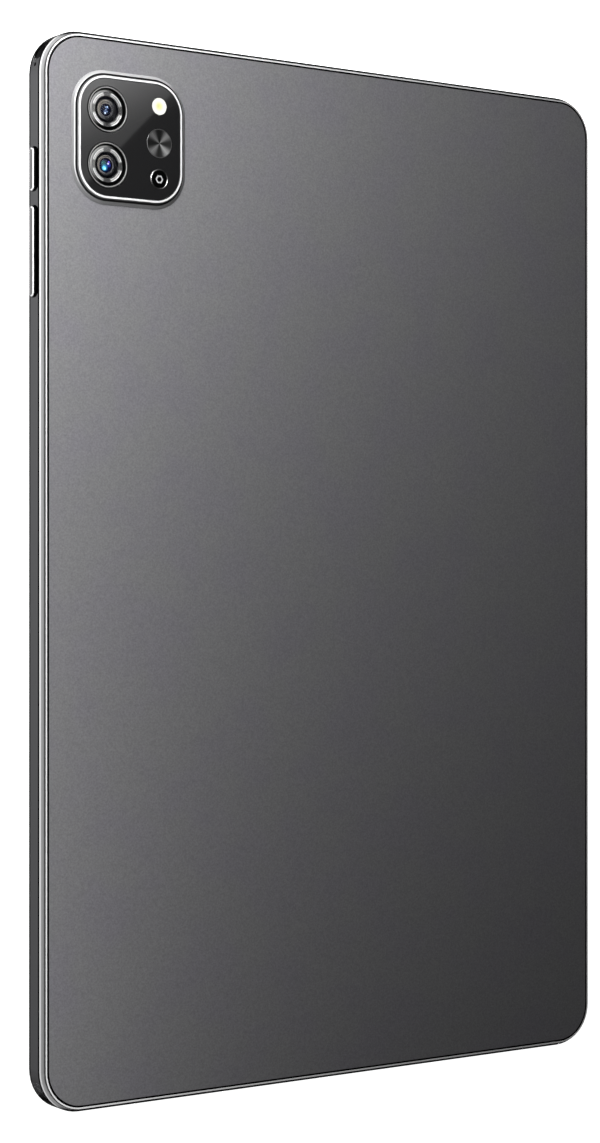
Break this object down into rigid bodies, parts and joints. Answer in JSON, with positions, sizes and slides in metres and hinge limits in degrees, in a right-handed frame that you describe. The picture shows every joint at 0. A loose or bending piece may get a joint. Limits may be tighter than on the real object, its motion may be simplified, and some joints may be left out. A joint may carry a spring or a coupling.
{
  "type": "tablet computer",
  "caption": "Slim metal tablet computer with a rear camera island, side keys, card tray, headphone and charging ports, and its boards and battery inside.",
  "frame": {"origin": "centre of the outer face of the screen glass, on which the tablet lies", "axes": "+Z out of the back, +Y along the long side towards the camera end, +X to the right seen from the back"},
  "size_m": [0.1605, 0.242, 0.0086],
  "materials": {
    "screen_glass": "polished cover glass, black printed border",
    "black_tape": "foam tape",
    "screen_cell": "switched-off panel",
    "backlight": "white reflector film",
    "flex_copper": "polyimide ribbon",
    "cast_chassis": "bead blasted",
    "frame_metal": "anodised grey, satin",
    "cover_metal": "metallic grey, fine satin grain",
    "graphite": "foil",
    "island_metal": "polished rim, satin skirt",
    "island_glass": "gloss black",
    "lens_metal": "turned and polished",
    "lens_glass": "coated",
    "flash_plastic": "clear diffuser",
    "spun_metal": "spun circular grain",
    "badge_chrome": "bright",
    "circuit_board": "green solder mask",
    "camera_black": "black",
    "bright_steel": "stamped sheet",
    "chip_black": "moulded",
    "battery_foil": "laminated pouch",
    "cable_black": "insulated",
    "white_tape": "stretch-release tape",
    "key_metal": "anodised, bright chamfer",
    "port_plastic": "moulded",
    "mic_metal": "plated can",
    "speaker_plastic": "moulded",
    "mesh_metal": "woven mesh",
    "screw_metal": "nickel plated"
  },
  "bodies": {
    "chassis": {"front_glass": "screen_glass", "screen_adhesive": "black_tape", "display_panel": "screen_cell", "backlight_unit": "backlight", "display_flex": "flex_copper", "touch_flex": "flex_copper", "mid_frame": "cast_chassis", "side_frame": "frame_metal", "rear_cover": "cover_metal", "cover_adhesive": "black_tape", "graphite_sheet": "graphite", "camera_ring": "island_metal", "camera_glass": "island_glass", "upper_lens_ring": "lens_metal", "lower_lens_ring": "lens_metal", "upper_lens_glass": "lens_glass", "lower_lens_glass": "lens_glass", "flash_lens": "flash_plastic", "spun_disc": "spun_metal", "badge_ring": "badge_chrome", "flash_board": "circuit_board", "main_camera_module": "camera_black", "depth_camera_module": "camera_black", "camera_bracket": "bright_steel", "main_camera_flex": "flex_copper", "front_camera": "camera_black", "light_sensor": "camera_black", "main_board": "circuit_board", "processor": "chip_black", "memory_chip": "chip_black", "cpu_shield": "bright_steel", "radio_shield": "bright_steel", "sub_board": "circuit_board", "link_flex": "flex_copper", "battery_left": "battery_foil", "battery_right": "battery_foil", "battery_board": "circuit_board", "battery_cable": "cable_black", "battery_tape": "white_tape", "key_domes": "bright_steel", "key_flex": "flex_copper", "key_bracket": "bright_steel", "headphone_jack": "port_plastic", "microphones": "mic_metal", "usb_c_shell": "bright_steel", "usb_c_tongue": "port_plastic", "left_speaker": "speaker_plastic", "right_speaker": "speaker_plastic", "speaker_meshes": "mesh_metal", "sim_reader": "bright_steel", "wifi_antenna": "flex_copper", "antenna_cable": "cable_black", "board_screws": "screw_metal"},
    "power_key": {"power_key": "key_metal"},
    "volume_key": {"volume_key": "key_metal"},
    "focus_barrel": {"main_lens_barrel": "camera_black"},
    "card_tray": {"sim_tray": "key_metal"},
    "eject_rod": {"sim_eject_rod": "bright_steel"},
    "eject_lever": {"sim_eject_lever": "bright_steel"}
  },
  "joints": [
    {"name": "power_press", "type": "slide", "parent": "chassis", "child": "power_key", "axis": [1, 0, 0], "range_m": [0, 0.0003], "stiffness_N_per_m": 4000},
    {"name": "volume_rock", "type": "hinge", "parent": "chassis", "child": "volume_key", "pos_m": [-0.07815, 0.0713, 0.003], "axis": [0, 0, 1], "range_deg": [-1.5, 1.5], "stiffness_Nm_per_rad": 0.45},
    {"name": "main_focus", "type": "slide", "parent": "chassis", "child": "focus_barrel", "axis": [0, 0, 1], "range_m": [0, 0.0003], "stiffness_N_per_m": 100},
    {"name": "tray_slide", "type": "slide", "parent": "chassis", "child": "card_tray", "axis": [1, 0, 0], "range_m": [0, 0.024]},
    {"name": "eject_push", "type": "slide", "parent": "chassis", "child": "eject_rod", "axis": [-1, 0, 0], "range_m": [0, 0.0012]},
    {"name": "eject_swing", "type": "hinge", "parent": "chassis", "child": "eject_lever", "pos_m": [0.0506, 0.091, 0.0044], "axis": [0, 0, 1], "range_deg": [0, 18.6]}
  ],
  "couplings": [
    {"joint": "eject_swing", "follows": "eject_push", "rad_per_m": 270.27}
  ]
}
